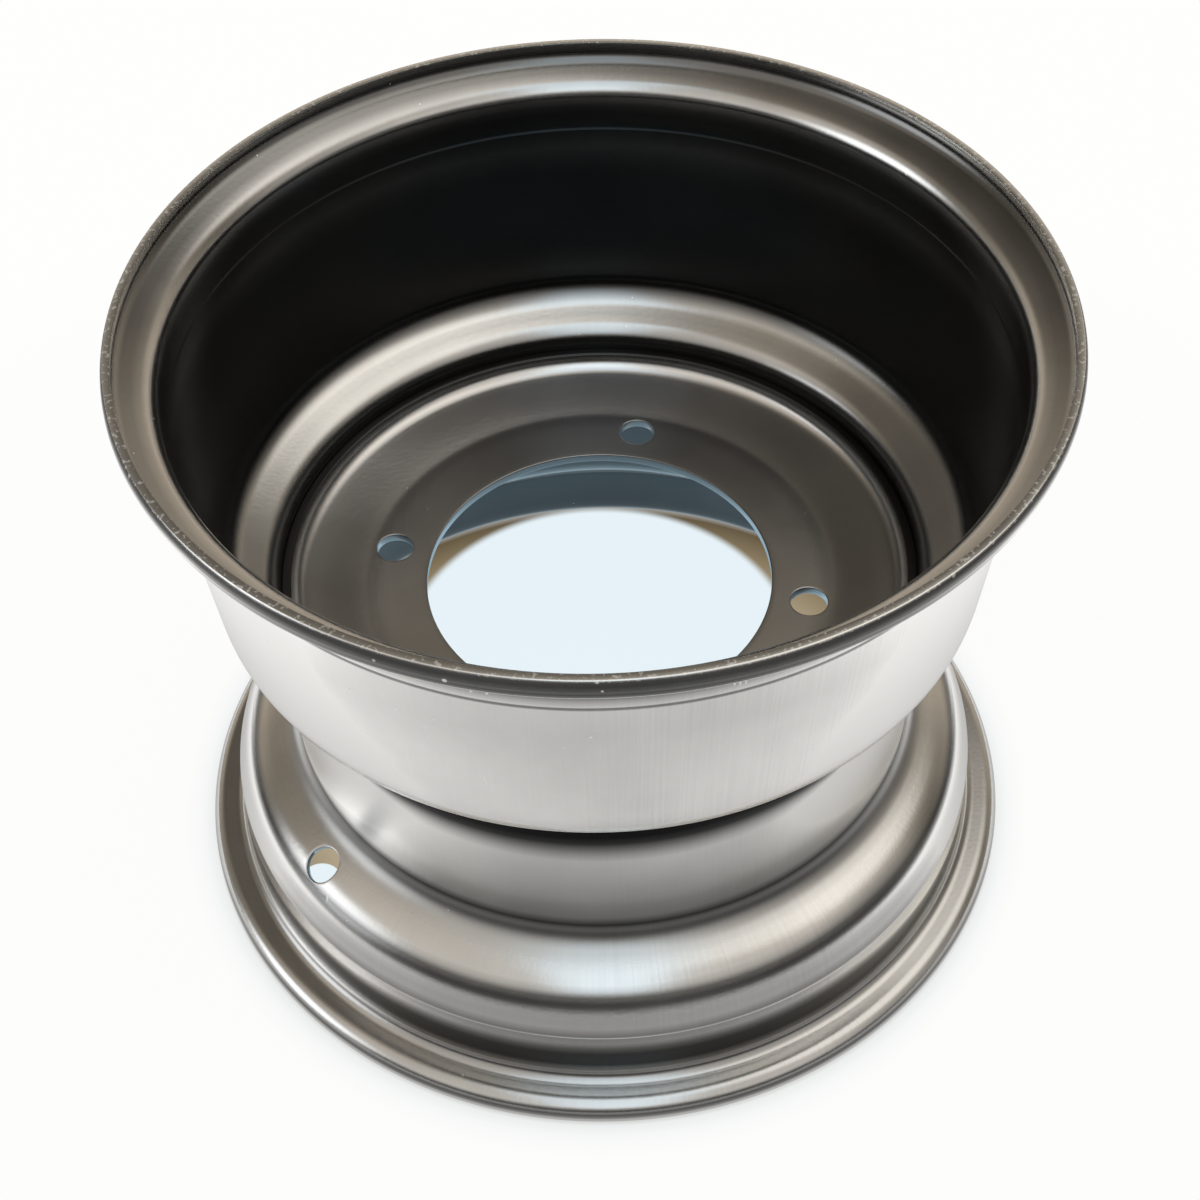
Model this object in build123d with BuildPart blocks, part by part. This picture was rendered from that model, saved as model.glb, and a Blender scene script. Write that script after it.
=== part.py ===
from build123d import *
from math import acos, asin, atan2, cos, hypot, pi, sin, tan
import os

os.makedirs("parts", exist_ok=True)

# Steel wheel rim of a quad bike, standing on its lower flange
# Millimetres. The axis of the wheel is Z, and Z 0 is the edge of the lower flange.
# Radii of the barrel are those of its outer face, the side that the tyre is on.

# Barrel: overall
rim_height = 216.8
barrel_wall = 2.0

# Barrel: bead seats, each ended by a low safety hump
lower_seat_radius = 127.1
lower_seat_height = 30.2
upper_seat_step = 0.1  # how much smaller than the lower seat
upper_seat_depth = 25.0  # below the upper edge
hump_rise = 0.15
hump_length = 1.0
crease_bend = 1.0
hump_bend = 3.0

# Barrel: curled flanges, each on a root that the seat's taper leads up to
flange_height = 12.9  # from the lower seat out to the full radius
curl_edge_inset = 1.02  # from the full radius in to the corner of the trimmed edge
trim_allowance = 4.0  # sheet past the trimmed edge, cut off level
lower_curl_radius = 5.5
lower_seat_taper = 1.0
lower_root_height = 8.9
lower_root_bend = 4.2
upper_curl_radius = 6.2
upper_seat_taper = 1.2
upper_root_depth = 12.0  # below the upper edge
upper_root_bend = 4.0

# Barrel: drop centre, a straight drum between two sloping shelves
well_depth = 23.2  # from the lower seat in to the drum
drum_length = 66.3
lower_shoulder_height = 23.2  # from the lower seat's crease up to the drum
lower_drum_bend = 9.5
lower_shelf_width = 17.6
lower_shelf_drop = 7.8
lower_shelf_bend = 18.0
upper_drum_bend = 5.8
upper_shelf_width = 16.7
upper_shelf_rise = 6.1
upper_shelf_bend = 13.0

# Valve hole, square to the lower shelf
valve_hole_diameter = 11.8
valve_hole_inset = 5.6  # from the corner of the shelf's bend in to the hole's centre
valve_hole_angle = -142.4
valve_cut_reach = 9.0

# Centre disc, a shallow pressing with its skirt up against the drum
disc_thickness = 3.0
skirt_setback = 4.9  # from the drum's upper corner down to the skirt's edge
skirt_height = 4.9
skirt_bend = 5.5  # less where the skirt is too low for it
skirt_straight = 0.1  # at least, between the bend and the skirt's edge
dish_depth = 3.8  # from the skirt's corner down to the hub face
hub_face_bend = 12.0
bore_edge_round = 1.4

# Bolt holes, with the steel left round them out to the bend and in to the bore
bolt_circle_diameter = 137.0
bolt_hole_diameter = 12.0
bolt_count = 4
bolt_start_angle = -12.1
bolt_to_bend = 1.5
bolt_to_bore = 6.5

# Weld between the disc and the drum, in the groove under the disc
weld_width = 5.0
weld_leg = 1.4
weld_depth = 4.0
weld_crown = 0.5

# Heights and radii that follow
flange_radius = lower_seat_radius + flange_height
upper_seat_radius = lower_seat_radius - upper_seat_step
lower_root_radius = lower_seat_radius + lower_seat_taper
upper_root_radius = upper_seat_radius + upper_seat_taper
drum_radius = lower_seat_radius - well_depth
lower_shelf_radius = drum_radius + lower_shelf_width
upper_shelf_radius = drum_radius + upper_shelf_width
lower_drum_height = lower_seat_height + lower_shoulder_height
drum_top = lower_drum_height + drum_length
drum_inner_radius = drum_radius - barrel_wall
skirt_top = drum_top - skirt_setback
skirt_corner = skirt_top - skirt_height
hub_face = skirt_corner - dish_depth
skirt_inner_radius = drum_inner_radius - disc_thickness
hub_face_radius = (bolt_circle_diameter + bolt_hole_diameter) / 2 + bolt_to_bend
bore_radius = (bolt_circle_diameter - bolt_hole_diameter) / 2 - bolt_to_bore
skirt_turn = pi / 2 - atan2(dish_depth, skirt_inner_radius - hub_face_radius)
skirt_corner_bend = min(skirt_bend, (skirt_height - skirt_straight) / tan(skirt_turn / 2))
valve_hole_radius = lower_shelf_radius - valve_hole_inset


def curl_points(curl, root_radius, root_distance):
    """Two points of a flange's outer face: one past the trimmed edge, and the curl's corner.

    Distances are along the axis from the edge. The curl's arc touches the full radius and
    ends at the trimmed edge, and the flange's face runs tangent to it from the root.
    """
    edge_radius = flange_radius - curl_edge_inset
    edge_angle = acos((curl - curl_edge_inset) / curl)
    out = flange_radius - curl - root_radius
    along = curl * sin(edge_angle) - root_distance
    face_angle = atan2(along, out) + asin(curl / hypot(out, along))
    span = (edge_radius - root_radius) * sin(face_angle) + root_distance * cos(face_angle)
    reach = span / cos(edge_angle + face_angle)
    past_edge = (edge_radius - trim_allowance * sin(edge_angle), -trim_allowance * cos(edge_angle))
    corner = (edge_radius + reach * sin(edge_angle), reach * cos(edge_angle))
    return past_edge, corner


def from_top(point):
    """The same point of an outline, measured down from the upper edge."""
    radius, distance = point
    return radius, rim_height - distance


# Barrel: one rolled and trimmed sheet, curled flange to curled flange
lower_end, lower_curl = curl_points(lower_curl_radius, lower_root_radius, lower_root_height)
upper_end, upper_curl = curl_points(upper_curl_radius, upper_root_radius, upper_root_depth)

barrel_corners = [
    (lower_curl, lower_curl_radius),
    ((lower_root_radius, lower_root_height), lower_root_bend),
    ((lower_seat_radius, lower_seat_height), crease_bend),
    ((lower_seat_radius + hump_rise, lower_seat_height + hump_length), hump_bend),
    ((lower_shelf_radius, lower_drum_height - lower_shelf_drop), lower_shelf_bend),
    ((drum_radius, lower_drum_height), lower_drum_bend),
    ((drum_radius, drum_top), upper_drum_bend),
    ((upper_shelf_radius, drum_top + upper_shelf_rise), upper_shelf_bend),
    (from_top((upper_seat_radius + hump_rise, upper_seat_depth + hump_length)), hump_bend),
    (from_top((upper_seat_radius, upper_seat_depth)), crease_bend),
    (from_top((upper_root_radius, upper_root_depth)), upper_root_bend),
    (from_top(upper_curl), upper_curl_radius),
]

shelf_angle = atan2(lower_shelf_drop, lower_shelf_radius - drum_radius)
valve_height = lower_drum_height - (valve_hole_radius - drum_radius) * tan(shelf_angle)
valve_direction = Vector(1, 0, 0).rotate(Axis.Z, valve_hole_angle)
valve_plane = Plane(
    origin=valve_direction * valve_hole_radius + Vector(0, 0, valve_height),
    z_dir=valve_direction * sin(shelf_angle) + Vector(0, 0, cos(shelf_angle)),
)

with BuildPart() as rim_barrel:
    with BuildSketch(Plane.XZ):
        with BuildLine():
            FilletPolyline(
                lower_end,
                *[corner for corner, bend in barrel_corners],
                from_top(upper_end),
                radius=[bend for corner, bend in barrel_corners],
            )
            offset(amount=barrel_wall, side=Side.LEFT, mode=Mode.ADD)
        make_face()
        Rectangle(3 * flange_radius, rim_height, align=(Align.CENTER, Align.MIN), mode=Mode.INTERSECT)
    revolve(axis=Axis.Z)
    with BuildSketch(valve_plane):
        Circle(valve_hole_diameter / 2)
    extrude(amount=valve_cut_reach, both=True, mode=Mode.SUBTRACT)

# Centre disc: its skirt is pressed into the drum, and its bore edge is rounded by the punch
with BuildSketch(Plane.XZ) as disc_section:
    with BuildLine():
        FilletPolyline(
            (skirt_inner_radius, skirt_top),
            (skirt_inner_radius, skirt_corner),
            (hub_face_radius, hub_face),
            (bore_radius, hub_face),
            radius=[skirt_corner_bend, hub_face_bend],
        )
        offset(amount=disc_thickness, side=Side.LEFT, mode=Mode.ADD)
    make_face()
    bore_corners = disc_section.vertices().group_by(Axis.X)[0]
    fillet(bore_corners.sort_by(Axis.Y)[-1], radius=bore_edge_round)

with BuildPart() as centre_disc:
    revolve(disc_section.sketch, axis=Axis.Z)
    with BuildSketch(Plane.XY.offset(hub_face)):
        with PolarLocations(bolt_circle_diameter / 2, bolt_count, start_angle=bolt_start_angle):
            Circle(bolt_hole_diameter / 2)
    extrude(amount=-disc_thickness, mode=Mode.SUBTRACT)

# Weld: one bead in the groove that the disc's bend leaves against the drum
groove_mouth = skirt_corner - disc_thickness
weld_root = groove_mouth + weld_depth
weld_toe = (drum_inner_radius - weld_width, skirt_corner - disc_thickness / 2)
weld_foot = (drum_inner_radius, groove_mouth - weld_leg)

with BuildPart() as disc_weld:
    with BuildSketch(Plane.XZ):
        with BuildLine():
            Polyline(weld_toe, (skirt_inner_radius, weld_root), (drum_inner_radius, weld_root), weld_foot)
            SagittaArc(weld_foot, weld_toe, weld_crown)
        make_face()
        add(disc_section.sketch, mode=Mode.SUBTRACT)
    revolve(axis=Axis.Z)

rim_barrel.part.label = "rim_barrel"
export_step(rim_barrel.part, "parts/rim_barrel.step")
centre_disc.part.label = "centre_disc"
export_step(centre_disc.part, "parts/centre_disc.step")
disc_weld.part.label = "disc_weld"
export_step(disc_weld.part, "parts/disc_weld.step")
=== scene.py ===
import math
import bmesh
import bpy
from mathutils import Matrix, Vector


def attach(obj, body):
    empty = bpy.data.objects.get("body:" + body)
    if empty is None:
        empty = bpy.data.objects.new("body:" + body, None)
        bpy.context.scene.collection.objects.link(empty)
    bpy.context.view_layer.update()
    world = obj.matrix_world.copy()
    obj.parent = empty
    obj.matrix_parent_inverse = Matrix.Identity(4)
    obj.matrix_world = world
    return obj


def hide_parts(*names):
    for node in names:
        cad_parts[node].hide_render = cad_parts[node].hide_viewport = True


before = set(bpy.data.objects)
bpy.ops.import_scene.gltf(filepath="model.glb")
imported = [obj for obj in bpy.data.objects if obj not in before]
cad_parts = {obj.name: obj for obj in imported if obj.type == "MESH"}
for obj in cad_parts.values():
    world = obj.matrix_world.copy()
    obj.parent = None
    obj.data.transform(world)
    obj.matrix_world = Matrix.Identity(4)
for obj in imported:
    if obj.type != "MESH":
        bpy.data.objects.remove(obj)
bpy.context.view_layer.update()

# Black steel wheel rim of a quad bike, standing on its lower flange
mm = 0.001
print("frame loaded:", ", ".join(sorted(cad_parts)))

# Camera: looks down at the wheel from the front, as the photograph does
shot = {
    "lens": 62.16, "sensor": 36,  # mm
    "distance": 0.75472,  # from the foot of the axis
    "elevation": 52.36,
    "pitch": 4.795,  # upwards, so that the wheel sits in the middle of the frame
    "roll": 1.486,
    "clipStart": 0.01,
}


def placeCamera(shot):
    elevation = math.radians(shot["elevation"])
    place = Vector((0, -math.cos(elevation), math.sin(elevation))) * shot["distance"]
    ahead = -place.normalized()
    right = ahead.cross(Vector((0, 0, 1))).normalized()
    ahead = Matrix.Rotation(math.radians(shot["pitch"]), 3, right) @ ahead
    up = right.cross(ahead)
    spin = Matrix.Rotation(math.radians(shot["roll"]), 3, ahead)
    right, up = spin @ right, spin @ up
    cameraData = bpy.data.cameras.new("camera")
    cameraData.sensor_width = shot["sensor"]
    cameraData.lens = shot["lens"]
    cameraData.clip_start = shot["clipStart"]
    camera = bpy.data.objects.new("camera", cameraData)
    turn = Matrix((right, up, -ahead)).transposed().to_4x4()
    camera.matrix_world = Matrix.Translation(place) @ turn
    bpy.context.scene.collection.objects.link(camera)
    bpy.context.scene.camera = camera


placeCamera(shot)
bpy.context.scene.view_settings.view_transform = "Standard"
print("camera placed")


# Shader maths in Python: a Wire is one socket, and an expression on it adds its Math nodes
class Wire:
    def __init__(self, tree, socket):
        self.tree = tree
        self.socket = socket

    def out(self, key):  # another output of the same node
        return Wire(self.tree, self.socket.node.outputs[key])

    def math(self, operation, *others, swap=False):
        values = [self, *others][::-1] if swap else [self, *others]
        return node(self.tree, "ShaderNodeMath", {"operation": operation}, dict(enumerate(values)))

    def __add__(self, other):
        return self.math("ADD", other)

    def __radd__(self, other):
        return self.math("ADD", other)

    def __sub__(self, other):
        return self.math("SUBTRACT", other)

    def __rsub__(self, other):
        return self.math("SUBTRACT", other, swap=True)

    def __mul__(self, other):
        return self.math("MULTIPLY", other)

    def __rmul__(self, other):
        return self.math("MULTIPLY", other)

    def __truediv__(self, other):
        return self.math("DIVIDE", other)

    def __gt__(self, other):
        return self.math("GREATER_THAN", other)

    def __lt__(self, other):
        return self.math("LESS_THAN", other)

    def __pow__(self, other):
        return self.math("POWER", other)

    def least(self, other):
        return self.math("MINIMUM", other)

    def most(self, other):
        return self.math("MAXIMUM", other)

    def between(self, low, high, start=0, end=1):  # start up to low, end from high on, smooth between
        settings = {"interpolation_type": "SMOOTHSTEP"}
        return node(self.tree, "ShaderNodeMapRange", settings, {0: self, 1: low, 2: high, 3: start, 4: end})


# Any other node: its settings come first, then the values or wires of its sockets
def node(tree, kind, settings=None, values=None, out=0):
    made = tree.nodes.new(kind)
    for key, value in (settings or {}).items():
        if key == "stops":
            setStops(made.color_ramp, value)
        else:
            setattr(made, key, value)
    for key, value in (values or {}).items():
        if isinstance(value, Wire):
            tree.links.new(value.socket, made.inputs[key])
        else:
            made.inputs[key].default_value = value
    return Wire(tree, made.outputs[out]) if made.outputs else None


def setStops(ramp, stops):
    while len(ramp.elements) < len(stops):
        ramp.elements.new(0.5)
    for element, (place, colour) in zip(ramp.elements, stops):
        element.position = place
        element.color = (*colour, 1)


def mixColour(tree, share, first, second):
    settings = {"data_type": "RGBA", "blend_type": "MIX", "clamp_factor": True}
    return node(tree, "ShaderNodeMix", settings, {0: share, 6: first, 7: second}, out=2)


def mixShader(tree, share, first, second):
    return node(tree, "ShaderNodeMixShader", {}, {0: share, 1: first, 2: second})


def vectorMath(tree, operation, *vectors, out=0):  # output 1 is the one that holds a number
    return node(tree, "ShaderNodeVectorMath", {"operation": operation}, dict(enumerate(vectors)), out)


def noise(tree, place, scale, detail):
    return node(tree, "ShaderNodeTexNoise", {}, {"Vector": place, "Scale": scale, "Detail": detail})


def splitAxes(tree, vector):
    split = node(tree, "ShaderNodeSeparateXYZ", {}, {0: vector})
    return [split.out(axis) for axis in "XYZ"]


def newMaterial(name):
    material = bpy.data.materials.new(name)
    material.use_nodes = True
    material.node_tree.nodes.clear()
    return material, material.node_tree


def newObject(name, points, faces):
    mesh = bpy.data.meshes.new(name)
    mesh.from_pydata(points, [], faces)
    made = bpy.data.objects.new(name, mesh)
    bpy.context.scene.collection.objects.link(made)
    return made


# Room: soft light from the camera's side and from overhead, and a dark room behind
room = {
    "sky": (  # degrees from the horizon at the camera's side, over the top to the back
        (-180, (0.02, 0.02, 0.02)),
        (12, (0.04, 0.04, 0.04)),
        (30, (0.52, 0.50, 0.47)),
        (88, (0.50, 0.46, 0.41)),
        (110, (0.22, 0.19, 0.15)),
        (132, (0.16, 0.14, 0.11)),
        (150, (0.27, 0.235, 0.19)),
        (166, (0.24, 0.21, 0.17)),
        (178, (0.08, 0.07, 0.06)),
    ),
    "strength": 1.6,
    "ends": {"colour": (0.02, 0.02, 0.02, 1), "share": 0.6, "side": (0.6, 1.0)},  # far left and right
    # Round patches of light and shade: colour, share, way from the wheel, degrees of core and edge
    "patches": {
        "shade": ((0.22, 0.19, 0.15, 1), 0.7, (-0.26, 0.16, 0.95), (3, 20)),
        "backShade": ((0.04, 0.035, 0.03, 1), 0.75, (-0.43, 0.57, 0.70), (10, 27)),
        "rightShade": ((0.04, 0.035, 0.03, 1), 0.6, (0.29, 0.62, 0.73), (4, 17)),
        "backLamp": ((0.95, 0.90, 0.82, 1), 0.6, (0.18, 0.38, 0.91), (2, 13)),
        "lamp": ((1.0, 0.96, 0.90, 1), 0.95, (0.40, 0.12, 0.90), (8, 34)),
        "leftWindow": ((1.6, 1.65, 1.7, 1), 0.8, (-0.93, -0.2, 0.29), (2, 24)),
    },
    # The large window before the wheel: degrees of its lower and upper edge, and how far to each side
    "window": {"colour": (0.84, 0.95, 1.03, 1), "low": (26, 36), "high": (84, 96), "side": (0.14, 0.25)},
}


def buildRoom(room):
    world = bpy.data.worlds.new("room")
    bpy.context.scene.world = world
    world.use_nodes = True
    tree = world.node_tree
    tree.nodes.clear()
    way = node(tree, "ShaderNodeTexCoord").out("Generated")
    x, y, z = splitAxes(tree, way)
    angle = z.math("ARCTAN2", y * -1) * math.degrees(1)
    stops = [((degrees + 180) / 360, colour) for degrees, colour in room["sky"]]
    sky = node(tree, "ShaderNodeValToRGB", {"stops": stops}, {0: (angle + 180) / 360})
    aside = x.math("ABSOLUTE")
    ends = room["ends"]
    sky = mixColour(tree, aside.between(*ends["side"]) * ends["share"], sky, ends["colour"])
    for colour, share, patchWay, degrees in room["patches"].values():
        facing = vectorMath(tree, "DOT_PRODUCT", way, Vector(patchWay).normalized(), out=1)
        core, edge = (math.cos(math.radians(value)) for value in degrees)
        sky = mixColour(tree, facing.between(edge, core) * share, sky, colour)
    window = room["window"]
    glass = angle.between(*window["low"]) * (1 - angle.between(*window["high"]))
    glass = glass * (1 - aside.between(*window["side"]))
    sky = mixColour(tree, glass, sky, window["colour"])
    lit = node(tree, "ShaderNodeBackground", {}, {"Color": sky, "Strength": room["strength"]})
    white = node(tree, "ShaderNodeBackground", {}, {"Color": (1, 1, 1, 1), "Strength": 1})
    seen = node(tree, "ShaderNodeLightPath").out("Is Camera Ray")
    node(tree, "ShaderNodeOutputWorld", {}, {"Surface": mixShader(tree, seen, lit, white)})


buildRoom(room)

# Floor: a round white table top, which fades into the white backdrop. Places and sizes are in metres
floor = {
    "radius": 0.9, "corners": 96,
    "colour": (0.90, 0.90, 0.89, 1),
    "far": {"colour": (0.05, 0.05, 0.05, 1), "reach": (0.27, 0.36)},  # throws little light on the wheel
    "seenGlow": 0.96,  # the rest is lit cloth, which keeps the wheel's shadow
    "shadowEnd": (0.2, 0.4),  # where the glow takes over from the lit cloth
    "seen": (  # by the distance from the axis: warm shade under the wheel, white outside it
        (0.0, (0.55, 0.45, 0.31)), (0.10, (0.45, 0.38, 0.26)), (0.12, (0.28, 0.22, 0.13)),
        (0.135, (0.12, 0.09, 0.05)), (0.141, (0.90, 0.92, 0.92)), (0.150, (0.995, 0.995, 0.985)),
    ),
    # Light that falls through the bore and the valve hole: each patch's middle, and its radius
    "patches": ((-0.001, 0.060, 0.076), (-0.100, -0.0435, 0.0072)),
    "patchColour": (0.82, 0.92, 0.97, 1),
    "patchEdge": (0.96, 1.02),  # of the radius
    "mirroredWithPaintedShade": (  # what a reflection sees of it: painted shade, bluish under the wheel and darker round its foot, then white, and dark far away
        (0.0, (0.32, 0.46, 0.56)), (0.10, (0.30, 0.44, 0.54)), (0.125, (0.20, 0.26, 0.30)),
        (0.14, (0.42, 0.42, 0.42)), (0.185, (0.68, 0.68, 0.68)), (0.235, (0.96, 0.96, 0.96)),
        (0.285, (1, 1, 1)), (0.32, (0.60, 0.60, 0.60)), (0.5, (0.12, 0.12, 0.12)), (0.9, (0.04, 0.04, 0.04)),
    ),
}


def floorColours(tree, away, stops):
    placed = [(metres / floor["radius"], colour) for metres, colour in stops]
    return node(tree, "ShaderNodeValToRGB", {"stops": placed}, {0: away / floor["radius"]})


def floorMaterial():
    material, tree = newMaterial("floorSheet")
    place = node(tree, "ShaderNodeNewGeometry").out("Position")
    away = vectorMath(tree, "LENGTH", place, out=1)
    seen = floorColours(tree, away, floor["seen"])
    mirroredWithPaintedShade = floorColours(tree, away, floor["mirroredWithPaintedShade"])
    for x, y, radius in floor["patches"]:
        fromMiddle = vectorMath(tree, "DISTANCE", place, (x, y, 0), out=1)
        outside = fromMiddle.between(*(radius * share for share in floor["patchEdge"]))
        seen = mixColour(tree, 1 - outside, seen, floor["patchColour"])
    rays = node(tree, "ShaderNodeLightPath")
    camera, glossy, through = (rays.out(f"Is {kind} Ray") for kind in ("Camera", "Glossy", "Transmission"))
    cloth = mixColour(tree, away.between(*floor["far"]["reach"]), floor["colour"], floor["far"]["colour"])
    lit = node(tree, "ShaderNodeBsdfDiffuse", {}, {"Color": cloth})
    shown = mixColour(tree, glossy, seen, mirroredWithPaintedShade)
    glow = node(tree, "ShaderNodeEmission", {}, {"Color": shown, "Strength": 1})
    glowing = floor["seenGlow"] + away.between(*floor["shadowEnd"]) * (1 - floor["seenGlow"])
    share = camera.most(through) * glowing + glossy
    node(tree, "ShaderNodeOutputMaterial", {}, {"Surface": mixShader(tree, share, lit, glow)})
    return material


def buildFloor():
    turns = [2 * math.pi * k / floor["corners"] for k in range(floor["corners"])]
    rim = [(floor["radius"] * math.cos(turn), floor["radius"] * math.sin(turn), 0) for turn in turns]
    sheet = newObject("floor", rim, [range(len(rim))])
    sheet.data.materials.append(floorMaterial())


buildFloor()
print("room and floor built")


# Outlines: corners (radius, height, bend) in mm, rounded, and sampled with their normals
def roundedOutline(corners, longest, turnStep=7.0, closest=0.01):
    rows = []

    def put(r, z, nr, nz):
        if not rows or math.hypot(r - rows[-1][0], z - rows[-1][1]) > closest:
            rows.append((r, z, nr, nz))

    def straight(a, b):
        length = math.dist(a, b)
        if length < closest:
            return
        nr, nz = (b[1] - a[1]) / length, (a[0] - b[0]) / length
        steps = max(1, math.ceil(length / longest))
        for k in range(steps + 1):
            share = k / steps
            put(a[0] + (b[0] - a[0]) * share, a[1] + (b[1] - a[1]) * share, nr, nz)

    here = corners[0][:2]
    for before, corner, after in zip(corners, corners[1:], corners[2:]):
        point, bend = Vector(corner[:2]), corner[2]
        back = Vector(before[:2]) - point
        on = Vector(after[:2]) - point
        opening = back.angle(on)
        reach = bend / math.tan(opening / 2)
        start = point + back.normalized() * reach
        end = point + on.normalized() * reach
        middle = (back.normalized() + on.normalized()).normalized()
        centre = point + middle * (bend / math.sin(opening / 2))
        straight(here, start)
        turn = math.pi - opening
        sign = 1 if back.x * on.y - back.y * on.x < 0 else -1  # 1 where the path turns left
        steps = max(2, math.ceil(math.degrees(turn) / turnStep))
        for k in range(steps + 1):
            arm = Matrix.Rotation(sign * turn * k / steps, 2) @ (start - centre)
            side = sign * arm.normalized()
            put(centre.x + arm.x, centre.y + arm.y, side.x, side.y)
        here = tuple(end)
    straight(here, corners[-1][:2])
    return rows


# The curve between two points that is pulled towards a corner, from its first point to its last
def bentLine(first, corner, last, steps):
    curve = []
    for k in range(steps + 1):
        t = k / steps
        curve.append(first * (1 - t) ** 2 + corner * 2 * t * (1 - t) + last * t ** 2)
    return curve


# A soft corner of an outline, so that no edge is knife sharp
def softCorner(before, corner, after, size, steps=4):
    corner = Vector(corner)
    first = corner + (Vector(before) - corner).normalized() * size
    last = corner + (Vector(after) - corner).normalized() * size
    return [tuple(point) for point in bentLine(first, corner, last, steps)]


# The cells of a closed outline of so many points that is turned through so many columns
def turnedCells(size, columns):
    for column in range(columns):
        here, there = column * size, (column + 1) % columns * size
        for k in range(size):
            after = (k + 1) % size
            yield column, k, (here + k, there + k, there + after, here + after)


# A turned sheet: rows are its outer face, and the wall goes in along their normals
class Sheet:
    def __init__(self, rows, wall, columns, ends, edgeSoft):
        self.rows, self.columns = rows, columns
        self.inner = [(r - wall * nr, z - wall * nz) for r, z, nr, nz in rows]
        first, last = ends  # heights of level trimmed edges, or None for square ones
        if first is not None:
            self.inner[0] = self.meet(self.inner[0], self.inner[1], first)
        if last is not None:
            self.inner[-1] = self.meet(self.inner[-1], self.inner[-2], last)
        self.outer = [(r, z) for r, z, nr, nz in rows]
        outer, inner = self.outer, self.inner
        self.loop = outer[1:-1]
        self.loop += softCorner(outer[-2], outer[-1], inner[-1], edgeSoft)
        self.loop += softCorner(outer[-1], inner[-1], inner[-2], edgeSoft)
        self.innerStart = len(self.loop)
        self.loop += inner[-2:0:-1]
        self.loop += softCorner(inner[1], inner[0], outer[0], edgeSoft)
        self.loop += softCorner(inner[0], outer[0], outer[1], edgeSoft)
        self.lengths = [0.0]
        for a, b in zip(outer, outer[1:]):
            self.lengths.append(self.lengths[-1] + math.dist(a, b))
        self.points = [(r * math.cos(self.angle(i)), r * math.sin(self.angle(i)), z)
                       for i in range(columns) for r, z in self.loop]
        self.faces = []
        self.skipped = set()  # cells of the grid that a hole takes out: column, row, outside

    def meet(self, end, inside, height):
        share = (height - end[1]) / (end[1] - inside[1])
        return end[0] + (end[0] - inside[0]) * share, height

    def angle(self, column):
        return 2 * math.pi * column / self.columns

    def loopPlace(self, row, outside):
        return row - 1 if outside else self.innerStart + len(self.rows) - 2 - row

    def index(self, column, row, outside):
        return (column % self.columns) * len(self.loop) + self.loopPlace(row, outside)

    # The outer face, or the inner one, at a length along the outline and an angle
    def surface(self, length, angle, outside=True):
        k = 1
        while k < len(self.lengths) - 1 and self.lengths[k] < length:
            k += 1
        share = (length - self.lengths[k - 1]) / (self.lengths[k] - self.lengths[k - 1])
        line = self.outer if outside else self.inner
        a, b = line[k - 1], line[k]
        r, z = a[0] + (b[0] - a[0]) * share, a[1] + (b[1] - a[1]) * share
        return Vector((r * math.cos(angle), r * math.sin(angle), z))

    # A round hole about a line: a block of the grid comes out, and rings fill it up to the hole
    def punch(self, centre, along, radius, halfBlock, soft, rings=5):
        hole = Hole(self, centre, along, radius, soft)
        rows = [k for k in range(1, len(self.rows) - 1) if abs(self.lengths[k] - hole.length) < halfBlock]
        low, high = rows[0], rows[-1]
        middle = round(hole.turn / self.angle(1))
        span = round(halfBlock / (hole.flat * self.angle(1)))
        left, right = middle - span, middle + span
        border = [(column, low) for column in range(left, right)]
        border += [(right, row) for row in range(low, high)]
        border += [(column, high) for column in range(right, left, -1)]
        border += [(left, row) for row in range(high, low, -1)]
        for column in range(left, right):
            for row in range(low, high):
                self.skipped |= {(column % self.columns, row, outside) for outside in (True, False)}
        outerMouth, outerBearings = self.fillTo(hole, border, True, rings)
        innerMouth, innerBearings = self.fillTo(hole, border, False, rings)
        outerWall = self.turnIn(hole, outerMouth, outerBearings, -1)
        innerWall = self.turnIn(hole, innerMouth, innerBearings, 1)
        # The inner rings start where they are nearest in direction to the outer ones
        apart = [abs(math.remainder(bearing - outerBearings[0], 2 * math.pi)) for bearing in innerBearings]
        shift = apart.index(min(apart))
        self.bridge(outerWall + [ring[shift:] + ring[:shift] for ring in innerWall[::-1]])

    # Rings of one face from the block's border to the mouth, which keep the border's directions
    def fillTo(self, hole, border, outside, rings, ease=0.7):
        starts = [(self.lengths[row], self.angle(column)) for column, row in border]
        bearings = [hole.bearing(self.surface(*start, outside)) for start in starts]
        ends = [hole.mouthAt(bearing, outside) for bearing in bearings]
        filled = [[self.index(column, row, outside) for column, row in border]]
        for k in range(1, rings + 1):
            share = (k / rings) ** ease
            ring = []
            for (length, turn), (endLength, endTurn) in zip(starts, ends):
                place = length + (endLength - length) * share, turn + (endTurn - turn) * share
                ring.append(self.add(self.surface(*place, outside)))
            filled.append(ring)
        self.bridge(filled)
        return filled[-1], bearings

    # The soft edge of one mouth, turned from the face into the wall of the hole
    def turnIn(self, hole, mouth, bearings, inwards, steps=3):
        curves = []
        for index, bearing in zip(mouth, bearings):
            start = Vector(self.points[index])
            corner = start - hole.direction(bearing) * hole.soft
            curves.append(bentLine(start, corner, corner + hole.along * hole.soft * inwards, steps))
        return [mouth] + [[self.add(point) for point in ring] for ring in list(zip(*curves))[1:]]

    def add(self, point):
        self.points.append(tuple(point))
        return len(self.points) - 1

    def bridge(self, rings):
        for a, b in zip(rings, rings[1:]):
            for k in range(len(a)):
                after = (k + 1) % len(a)
                self.faces.append((a[k], a[after], b[after], b[k]))

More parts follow.
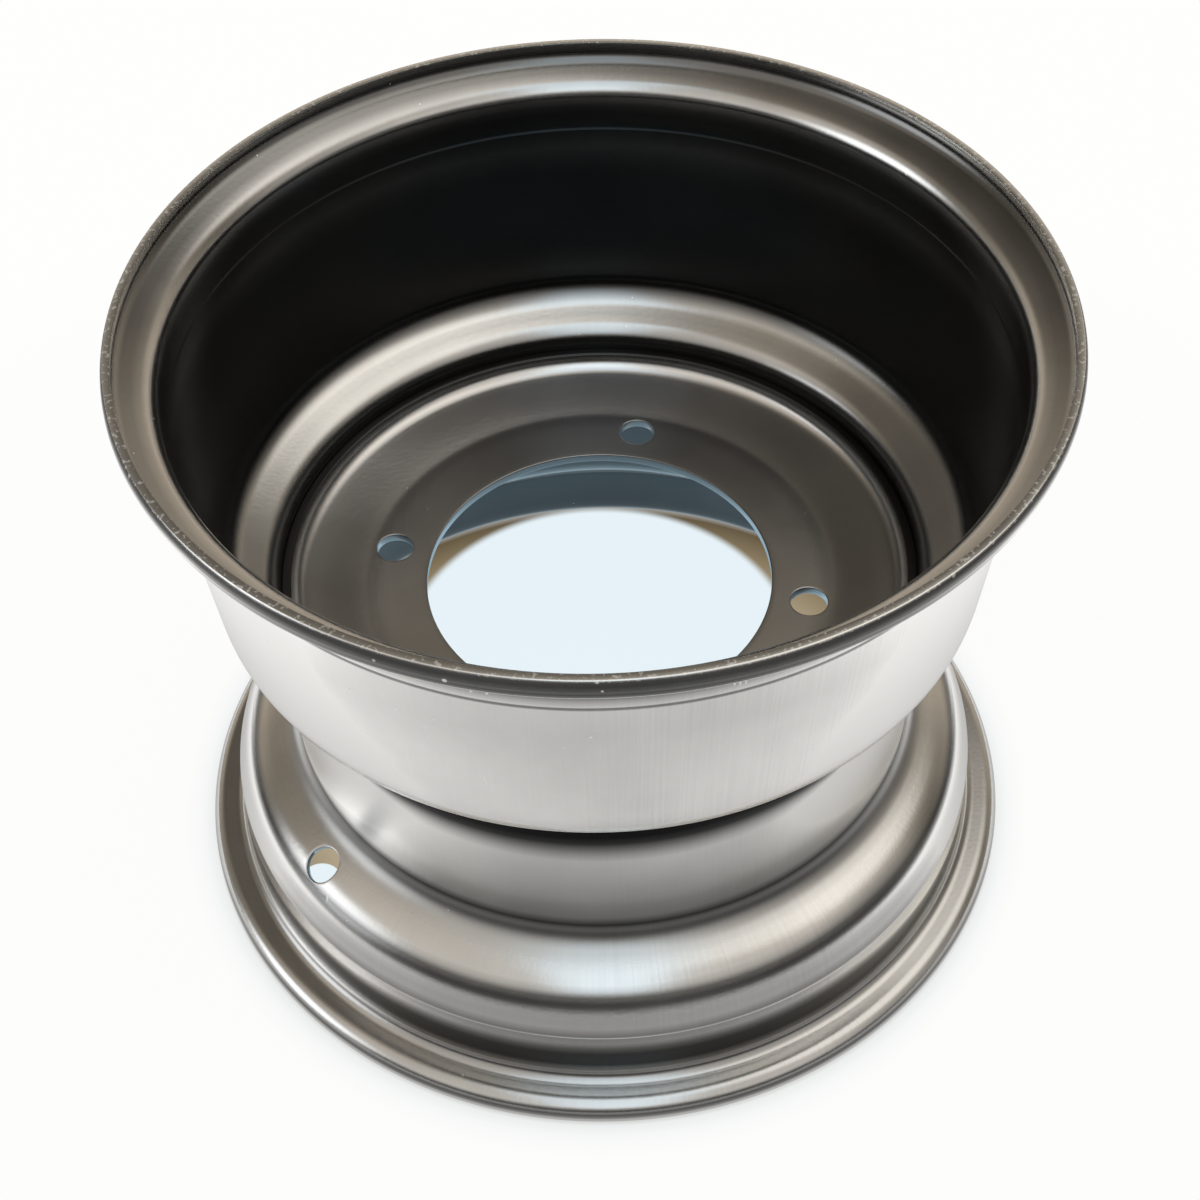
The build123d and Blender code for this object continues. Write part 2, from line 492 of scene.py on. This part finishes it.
    def build(self, name):
        cells = {}
        for row in range(1, len(self.rows) - 1):
            cells[self.loopPlace(row, True)] = (row, True)
            cells[self.loopPlace(row, False)] = (row - 1, False)
        for column, k, face in turnedCells(len(self.loop), self.columns):
            if (column, *cells.get(k, ())) not in self.skipped:
                self.faces.append(face)
        piece = newObject(name, [(x * mm, y * mm, z * mm) for x, y, z in self.points], self.faces)
        smoothMesh(piece.data)
        return piece


# A round hole's own frame on a sheet: its axis, the way along the outline and the way across
class Hole:
    def __init__(self, sheet, centre, along, radius, soft, probe=0.5):
        self.sheet, self.centre, self.along, self.radius, self.soft = sheet, centre, along, radius, soft
        self.flat = math.hypot(centre.x, centre.y)
        self.turn = math.atan2(centre.y, centre.x)
        self.across = Vector((-math.sin(self.turn), math.cos(self.turn), 0))
        self.slope = self.across.cross(along).normalized()
        apart = [math.dist(point, (self.flat, centre.z)) for point in sheet.outer]
        self.length = sheet.lengths[apart.index(min(apart))]
        near = sheet.surface(self.length, self.turn)
        if (sheet.surface(self.length + probe, self.turn) - near).dot(self.slope) <= 0:
            self.slope *= -1
        self.length += (centre - near).dot(self.slope)

    def flatPlace(self, point):
        offset = point - self.centre
        return Vector((offset.dot(self.slope), offset.dot(self.across)))

    def bearing(self, point):
        place = self.flatPlace(point)
        return math.atan2(place.y, place.x)

    def direction(self, bearing):
        return self.slope * math.cos(bearing) + self.across * math.sin(bearing)

    # Length and angle of the sheet's point that lies at the mouth's edge in a direction
    def mouthAt(self, bearing, outside, rounds=12):
        target = Vector((math.cos(bearing), math.sin(bearing))) * (self.radius + self.soft)
        length, turn = self.length + target.x, self.turn + target.y / self.flat
        for _ in range(rounds):
            miss = target - self.flatPlace(self.sheet.surface(length, turn, outside))
            length += miss.x
            turn += miss.y / self.flat
        return length, turn


def smoothMesh(mesh):
    grid = bmesh.new()
    grid.from_mesh(mesh)
    bmesh.ops.recalc_face_normals(grid, faces=grid.faces)
    grid.to_mesh(mesh)
    grid.free()
    for face in mesh.polygons:
        face.use_smooth = True


# Paint: semi-gloss black, brushed, dusty and specked. It is made as a dark metal, and its tone is the share
# of light that it mirrors, set by height or radius after the bright and dark bands in the photograph.
# Part of those bands is reflection and shade, so the tone also holds painted highlights and painted shade,
# such as the near black inside and the dark bands under the upper shoulder and on the bead seats
coat = {
    "ior": 1.5,
    "usualFresnel": 0.066,  # at which a tone shows as it is written
    "cloudDetail": 3, "fineDetail": 2,
    "grainEdge": (0.06, 0.14), "grainTone": (0.1, 0.3),  # dust shows only on the brighter paint
    "grit": 0.05, "gritPeaks": (0.56, 0.68), "gritMore": 0.30, "gritFade": 0.4,  # the fade in mm
    "brushCore": 0.4, "markCore": 0.4,  # share of a stretch or mark that is at full strength
    "bumpHeight": 0.00002,  # metres
    "cloudDull": 0.08, "wornDull": 0.3, "bandDull": 0.13, "bandFade": 5,  # the fade in mm
}


def paintMaterial(name, look, marks=()):
    material, tree = newMaterial(name)
    place = node(tree, "ShaderNodeTexCoord").out("Object")
    # Gloss rises towards a grazing view, as on lacquer
    fresnel = node(tree, "ShaderNodeFresnel", {}, {"IOR": coat["ior"]})
    tone, rise = (layerValue(tree, layer) for layer in toneAndPaintedLightLayers)
    clouds = noise(tree, place, look["cloudScale"], coat["cloudDetail"]) - 0.5
    peel = noise(tree, place, look["peelScale"], coat["fineDetail"])
    uneven = 1 + clouds * look["cloud"]
    height = peel * look["peel"]
    rough = look["roughness"] + clouds * coat["cloudDull"]
    worn = dustMask(tree, place, look) * tone.between(*coat["grainTone"])
    metallic = 1
    if "brushed" in look:  # the barrel alone is brushed, duller in its middle and gritty at its edge
        x, y, z = splitAxes(tree, place)
        lines, stretch = brushLines(tree, y.math("ARCTAN2", x), z, look)
        uneven = uneven + (lines - 0.5) * (look["brush"] + stretch * look["brushMore"])
        height = height + lines * stretch * look["brushBump"]
        rough = rough + dullBand(z, *look["duller"]) * coat["bandDull"]
        grit = edgeGrit(z, peel, *look["gritty"])
        worn = worn.most(grit)
        metallic = 1 - grit
    for mark in marks:
        worn = worn.most(markMask(tree, place, *mark))
    # The share of light that it mirrors: the tone with its painted highlights and painted shade, rising to
    # the sides
    gloss = (tone * (fresnel / coat["usualFresnel"]) ** rise * uneven).least(1)
    colour = mixColour(tree, gloss, (0, 0, 0, 1), (*look["colour"], 1))
    colour = mixColour(tree, worn, colour, (*look["worn"], 1))
    relief = {"Strength": 1, "Distance": coat["bumpHeight"], "Height": height}
    shader = node(tree, "ShaderNodeBsdfPrincipled", {}, {
        "Base Color": colour,
        "Metallic": metallic,
        "Roughness": rough + worn * coat["wornDull"],
        "Normal": node(tree, "ShaderNodeBump", {}, relief),
    })
    node(tree, "ShaderNodeOutputMaterial", {}, {"Surface": shader})
    return material


def layerValue(tree, layer):
    return node(tree, "ShaderNodeAttribute", {"attribute_name": layer}).out("Fac")


# Dust: a few of many small cells hold a pale grain
def dustMask(tree, place, look):
    cells = node(tree, "ShaderNodeTexVoronoi", {}, {"Vector": place, "Scale": look["dustScale"]})
    pick = node(tree, "ShaderNodeSeparateColor", {}, {0: cells.out("Color")})
    return (1 - cells.out("Distance").between(*coat["grainEdge"])) * (pick > 1 - look["dust"])


# Fine upright lines left by a brush, and the stretch in which they show most
def brushLines(tree, turn, z, look):
    drawn = node(tree, "ShaderNodeCombineXYZ", {}, {0: turn * look["brushLines"], 1: z * look["brushDrift"]})
    middle, reach = (math.radians(degrees) for degrees in look["brushed"])
    stretch = 1 - (turn - middle).math("ABSOLUTE").between(reach * coat["brushCore"], reach)
    return noise(tree, drawn, 1, coat["fineDetail"]), stretch


# The heights between which the gloss is softer
def dullBand(z, low, high):
    fade = coat["bandFade"]
    return z.between(low * mm, (low + fade) * mm) * (1 - z.between((high - fade) * mm, high * mm))


# The trimmed edge, where bare steel shows through thin paint
def edgeGrit(z, peel, low, high):
    edge = z.between(low * mm, (low + coat["gritFade"]) * mm) * (z < high * mm)
    return (coat["grit"] + peel.between(*coat["gritPeaks"]) * coat["gritMore"]) * edge


# A chip or speck: its centre, its half width in mm, how many times taller it is, and its strength
def markMask(tree, place, centre, size, tall, strength):
    squeeze = Vector((1, 1, 1 / tall))
    squeezed = vectorMath(tree, "MULTIPLY", place, squeeze)
    away = vectorMath(tree, "DISTANCE", squeezed, centre * squeeze * mm, out=1)
    return away.between(size * coat["markCore"] * mm, size * mm, strength, 0)


# Tone of the paint at each point, with its painted highlights and painted shade, and how fast its gloss
# rises to the sides, from a list of stops
toneAndPaintedLightLayers = ("tone", "rise")


def setToneAndPaintedLight(piece, stopsAt):
    layers = [piece.data.attributes.new(name, "FLOAT", "POINT") for name in toneAndPaintedLightLayers]
    for point in piece.data.vertices:
        r = math.hypot(point.co.x, point.co.y) / mm
        outward = point.normal.x * point.co.x + point.normal.y * point.co.y
        stops, place = stopsAt(r, point.co.z / mm, outward > 0)
        for layer, value in zip(layers, blendStops(stops, place)):
            layer.data[point.index].value = value


# The values at a place, straight between the stops before and after it
def blendStops(stops, place):
    for low, high in zip(stops, stops[1:]):
        if place <= high[0]:
            share = max(0, (place - low[0]) / (high[0] - low[0]))
            return [a + (b - a) * share for a, b in zip(low[1:], high[1:])]
    return stops[-1][1:]


# Barrel: the same named sizes as the solid, in mm
barrel = {
    "flangeRadius": 140.0, "height": 216.8, "wall": 2.0,
    "edgeInset": 1.02, "edgeSoft": 0.3,
    "lowerCurl": 5.5, "lowerRoot": (128.1, 8.9, 4.2),
    "upperCurl": 6.2, "upperRoot": (128.2, 12.0, 4.0),
    "lowerSeat": (127.1, 30.2), "upperSeat": (127.0, 25.0),
    "humpRise": 0.15, "humpLength": 1.0, "humpBend": 3.0, "creaseBend": 1.0,
    "drumRadius": 103.9, "drumLow": 53.4, "drumHigh": 119.7, "lowerDrumBend": 9.5, "upperDrumBend": 5.8,
    "lowerShelf": (121.5, 45.6, 18.0), "upperShelf": (120.6, 125.8, 13.0),
    "valve": {"radius": 5.9, "at": 115.9, "angle": -142.4, "block": 9.5, "soft": 0.35},
    "columns": 280, "longest": 3.0,
    # Height, tone, and how fast the gloss rises towards the sides. The near black rows are painted shade,
    # and the brightest rows are partly painted highlights
    "outsideToneAndPaintedLight": (
        (0, 0.37, 0.9), (3, 0.57, 0.8), (5, 0.20, 0.8), (7, 0.92, 1), (9, 0.82, 1.1),  # lower flange
        (11, 0.44, 1.3), (13.5, 0.010, 0.5), (17, 0.02, 0), (22, 0.03, 1),  # lower bead seat, near black: painted shade
        (24, 0.05, 1.6), (26, 0.42, 1.8), (28.5, 0.17, 1.6), (31.5, 0.33, 1.5), (35, 0.60, 1.1),  # hump
        (38, 0.45, 1.2), (40.5, 1.0, 1), (43.5, 0.20, 1), (46, 1.0, 1), (50, 1.0, 1),  # shoulder and shelf
        (52.5, 0.61, 1), (55.5, 0.27, 1), (58.5, 0.04, 0.8), (62.5, 0.27, 0.7),  # bend up to the drum
        (68, 0.28, 1.0), (73, 0.36, 1.2), (77, 0.39, 1.3), (82, 0.45, 1.3), (92, 0.56, 1.2),  # drum
        (97, 0.24, 1.8), (99.5, 0.06, 1.8), (102, 0.0, 0), (121, 0.0, 0),  # under the upper shoulder, black: painted shade
        (124, 0.15, 1.6), (131, 0.17, 1.8), (134, 0.60, 0.8), (138, 0.66, 0.7),  # bend
        (150, 0.62, 0.7), (165, 0.55, 0.7), (178, 0.50, 0.7), (190, 0.52, 0.7),  # wall
        (193.5, 0.56, 1), (195.5, 0.08, 1), (205, 0.035, 1.2), (212.5, 0.028, 1.8),  # upper bead seat, near black under the curl: painted shade
        (214, 0.25, 1.5), (215.3, 1.0, 1), (216.8, 1.0, 1),  # upper curl
    ),
    "insideToneAndPaintedLight": (
        # Under the disc, then above it. The near black rows of the walls above the disc are painted shade,
        # and the bright flange rows are partly painted highlights
        (0, 0.50, 1), (7, 0.40, 1), (14, 0.22, 1), (40, 0.19, 1), (70, 0.26, 1), (108, 0.24, 1),
        (113, 0.05, 0), (118.6, 0.05, 0), (121, 0.42, 0), (123, 0.60, 0.2), (125.5, 0.62, 0.2),  # upper shelf
        (127, 0.30, 0), (128.5, 0.13, 0), (130, 0.05, 0), (133, 0.032, 0), (145, 0.032, -0.2),
        (160, 0.042, -0.5), (176, 0.045, -0.5), (182, 0.07, -0.4),  # wall, near black: painted shade
        (185, 0.11, 0), (189, 0.06, 0), (198, 0.04, 0), (202, 0.12, 0.2), (203.2, 0.5, 0.8),  # bead seat
        (205, 1.0, 1.0), (207, 0.80, 1.3), (208.5, 0.50, 1.8), (210, 0.42, 1.8), (212, 0.38, 1.7),  # flange
        (213.5, 0.17, 1.4), (215.2, 0.20, 1.2), (216.8, 0.42, 1.4),
    ),
    "wear": (  # angle, height, half width, how many times taller, strength
        (-122.1, 177.9, 0.44, 1, 0.8), (-115.6, 177, 0.56, 1, 1.0), (-110.6, 177.7, 0.38, 2, 0.9),
        (-112, 172.6, 0.69, 1, 0.9), (-112.9, 162.5, 0.62, 1.5, 0.7), (-112.5, 166.5, 0.38, 2, 0.8),
        (-111.4, 152.1, 0.38, 3, 0.7), (-94.8, 173.2, 0.38, 1, 0.7), (-91.5, 178.6, 0.56, 1, 1.0),
        (-105.15, 153, 0.31, 24, 0.6), (-103.3, 195, 0.56, 1, 0.9), (-105.2, 194.7, 0.56, 1, 0.8),
        (-74.7, 195.2, 0.38, 4, 0.8), (-74, 195, 0.38, 5, 0.8), (-73.3, 194.7, 0.38, 4, 0.7),
        (-113.5, 214.1, 0.62, 1, 1.0), (-105.9, 213.2, 0.88, 1, 1.0), (-90, 213.9, 0.50, 1, 1.0),
        (-90.5, 216.4, 0.62, 1, 1.0), (52.4, 216.6, 0.75, 1, 1.0), (-154.3, 216.6, 0.69, 1, 0.9),
        (-152.9, 216.2, 0.88, 1, 1.0), (-151.2, 216.5, 0.56, 1, 0.9), (-50.3, 216.4, 0.88, 1, 1.0),
    ),
    "paint": {
        "colour": (1.0, 0.985, 0.955), "roughness": 0.23,
        "gritty": (216.1, 217), "duller": (48, 105),  # between two heights
        "peel": 1.0, "peelScale": 700, "cloud": 0.34, "cloudScale": 30,
        "brush": 0.06, "brushMore": 0.08, "brushBump": 0.25, "brushLines": 150, "brushDrift": 12,
        "brushed": (-70, 30),  # middle and half width in degrees
        "dust": 0.012, "dustScale": 420, "worn": (1.0, 0.99, 0.96),
    },
}


# The curl's corner, where the line of the flange's face meets the trimmed edge's own line
def curlCorner(curl, root):
    inset, full = barrel["edgeInset"], barrel["flangeRadius"]
    edgeAngle = math.acos((curl - inset) / curl)
    out, up = full - curl - root[0], curl * math.sin(edgeAngle) - root[1]
    faceAngle = math.atan2(up, out) + math.asin(curl / math.hypot(out, up))
    span = (full - inset - root[0]) * math.sin(faceAngle) + root[1] * math.cos(faceAngle)
    reach = span / math.cos(edgeAngle + faceAngle)
    return full - inset + reach * math.sin(edgeAngle), reach * math.cos(edgeAngle), curl


def barrelCorners():
    edge = barrel["flangeRadius"] - barrel["edgeInset"]

    def down(corner):  # measured down from the upper edge
        return (corner[0], barrel["height"] - corner[1], *corner[2:])

    def hump(seat):
        crease = (*seat, barrel["creaseBend"])
        crest = (seat[0] + barrel["humpRise"], seat[1] + barrel["humpLength"], barrel["humpBend"])
        return crease, crest

    lowerCrease, lowerCrest = hump(barrel["lowerSeat"])
    upperCrease, upperCrest = hump(barrel["upperSeat"])
    return [
        (edge, 0.0),
        curlCorner(barrel["lowerCurl"], barrel["lowerRoot"]),
        barrel["lowerRoot"],
        lowerCrease,
        lowerCrest,
        barrel["lowerShelf"],
        (barrel["drumRadius"], barrel["drumLow"], barrel["lowerDrumBend"]),
        (barrel["drumRadius"], barrel["drumHigh"], barrel["upperDrumBend"]),
        barrel["upperShelf"],
        down(upperCrest),
        down(upperCrease),
        down(barrel["upperRoot"]),
        down(curlCorner(barrel["upperCurl"], barrel["upperRoot"])),
        (edge, barrel["height"]),
    ]


def buildBarrel(rows):
    valve = barrel["valve"]
    sheet = Sheet(rows, barrel["wall"], barrel["columns"], (0.0, barrel["height"]), barrel["edgeSoft"])
    shelfRadius, shelfHeight = barrel["lowerShelf"][:2]
    slope = math.atan2(barrel["drumLow"] - shelfHeight, shelfRadius - barrel["drumRadius"])
    turn = math.radians(valve["angle"])
    outwards = Vector((math.cos(turn), math.sin(turn), 0))
    height = barrel["drumLow"] - (valve["at"] - barrel["drumRadius"]) * math.tan(slope)
    centre = outwards * valve["at"] + Vector((0, 0, height))
    along = outwards * math.sin(slope) + Vector((0, 0, math.cos(slope)))
    sheet.punch(centre, along, valve["radius"], valve["block"], valve["soft"])
    return sheet.build("barrel")


# Where a point of the barrel's outside lies, by its angle in degrees and its height in mm
def onBarrel(rows, angle, height):
    radii = []
    for (r, z, *_), (nextR, nextZ, *_) in zip(rows, rows[1:]):
        if z != nextZ and min(z, nextZ) <= height <= max(z, nextZ):
            radii.append(r + (nextR - r) * (height - z) / (nextZ - z))
    turn = math.radians(angle)
    return Vector((max(radii) * math.cos(turn), max(radii) * math.sin(turn), height))


barrelRows = roundedOutline(barrelCorners(), barrel["longest"])
barrelMarks = [(onBarrel(barrelRows, angle, height), *mark) for angle, height, *mark in barrel["wear"]]
barrelPiece = buildBarrel(barrelRows)
setToneAndPaintedLight(barrelPiece, lambda r, z, outside: (barrel["outsideToneAndPaintedLight" if outside else "insideToneAndPaintedLight"], z))
barrelPiece.data.materials.append(paintMaterial("barrelPaint", barrel["paint"], barrelMarks))
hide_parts("rim_barrel")
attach(barrelPiece, "root")
print("barrel turned:", len(barrelPiece.data.polygons), "faces")

# Centre disc, its skirt up against the drum
disc = {
    "wall": 3.0, "edgeSoft": 0.35, "skirtTop": 114.8,
    "skirt": (98.9, 109.9, 5.5), "hub": (76.0, 106.1, 12.0), "bore": 56.0,
    "boltCircle": 68.5, "bolts": 4, "boltStart": -12.1,
    "bolt": {"radius": 6.0, "block": 8.5, "soft": 0.3},
    "columns": 360, "longest": 2.0,
    "tone": (  # radius, tone, and how fast the gloss rises; the dark skirt is painted shade, and the bright ring at the bend is partly a painted highlight
        (56, 0.42, 1), (58, 0.66, 1), (70, 0.70, 1), (74, 0.54, 1), (80, 0.40, 1), (86, 0.40, 1),
        (93, 0.48, 1), (95, 0.38, 0.5), (97.3, 0.90, 0.5),
        (98.4, 0.45, 0.4), (98.9, 0.06, 0.3), (101.9, 0.08, 0.3),
    ),
    "paint": {
        "colour": (1.0, 0.98, 0.95), "roughness": 0.25,
        "peel": 1.0, "peelScale": 700, "cloud": 0.3, "cloudScale": 30,
        "dust": 0.008, "dustScale": 420, "worn": (0.55, 0.54, 0.52),
    },
}


def buildDisc():
    bolt = disc["bolt"]
    hubHeight = disc["hub"][1]
    corners = [(disc["bore"], hubHeight), disc["hub"], disc["skirt"], (disc["skirt"][0], disc["skirtTop"])]
    # The outline runs out from the bore, so its normals point down: the wall goes the other way
    rows = [(r, z, -nr, -nz) for r, z, nr, nz in roundedOutline(corners, disc["longest"])]
    sheet = Sheet(rows, disc["wall"], disc["columns"], (None, None), disc["edgeSoft"])
    for k in range(disc["bolts"]):
        turn = math.radians(disc["boltStart"] + 360 / disc["bolts"] * k)
        centre = Vector((disc["boltCircle"] * math.cos(turn), disc["boltCircle"] * math.sin(turn), hubHeight))
        sheet.punch(centre, Vector((0, 0, 1)), bolt["radius"], bolt["block"], bolt["soft"])
    return sheet.build("disc")


discPiece = buildDisc()
setToneAndPaintedLight(discPiece, lambda r, z, outside: (disc["tone"], r))
discPiece.data.materials.append(paintMaterial("discPaint", disc["paint"]))
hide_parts("centre_disc")
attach(discPiece, "root")
print("disc pressed:", len(discPiece.data.polygons), "faces")

# Weld: one bead round the groove under the disc, laid in overlapping ripples
weld = {
    "drum": 101.9, "width": 5.0, "leg": 1.4, "mouth": 106.9, "toeHeight": 108.4,
    "root": 110.9, "rootWidth": 3.0,
    "crown": 0.5, "ripple": 2.6, "rippleDepth": 0.28, "crescent": 1.2, "wander": 0.12, "waves": (7, 17),
    "columns": 1440, "across": 7,
    "tone": ((0, 0.35, 1),),
    "paint": {
        "colour": (1.0, 0.98, 0.95), "roughness": 0.34,
        "peel": 3.0, "peelScale": 900, "cloud": 0.6, "cloudScale": 120,
        "dust": 0.02, "dustScale": 500, "worn": (0.5, 0.48, 0.45),
    },
}


def buildWeld():
    foot = Vector((weld["drum"], weld["mouth"] - weld["leg"]))
    toe = Vector((weld["drum"] - weld["width"], weld["toeHeight"]))
    chord = toe - foot
    out = Vector((chord.y, -chord.x)).normalized()
    if out.y > 0:
        out = -out
    ripples = round(2 * math.pi * weld["drum"] / weld["ripple"])
    slow, fast = weld["waves"]
    points = []
    for column in range(weld["columns"]):
        turn = 2 * math.pi * column / weld["columns"]
        sway = weld["wander"] * (math.sin(slow * turn) + math.sin(fast * turn + 1)) / 2
        section = []
        for k in range(weld["across"]):
            t = k / (weld["across"] - 1)
            lag = (turn * ripples / (2 * math.pi) + weld["crescent"] * t * (1 - t)) % 1  # a crescent's curve
            crown = weld["crown"] - weld["rippleDepth"] * lag - abs(sway)
            section.append(foot + chord * t + out * crown * 4 * t * (1 - t))
        section.append(Vector((weld["drum"] - weld["rootWidth"], weld["root"])))
        section.append(Vector((weld["drum"], weld["root"])))
        points += [(r * math.cos(turn) * mm, r * math.sin(turn) * mm, z * mm) for r, z in section]
    faces = [face for column, k, face in turnedCells(len(section), weld["columns"])]
    piece = newObject("weld", points, faces)
    smoothMesh(piece.data)
    return piece


weldPiece = buildWeld()
setToneAndPaintedLight(weldPiece, lambda r, z, outside: (weld["tone"], r))
weldPiece.data.materials.append(paintMaterial("weldPaint", weld["paint"]))
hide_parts("disc_weld")
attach(weldPiece, "root")
print("weld laid:", len(weldPiece.data.polygons), "faces")
print("scene done")
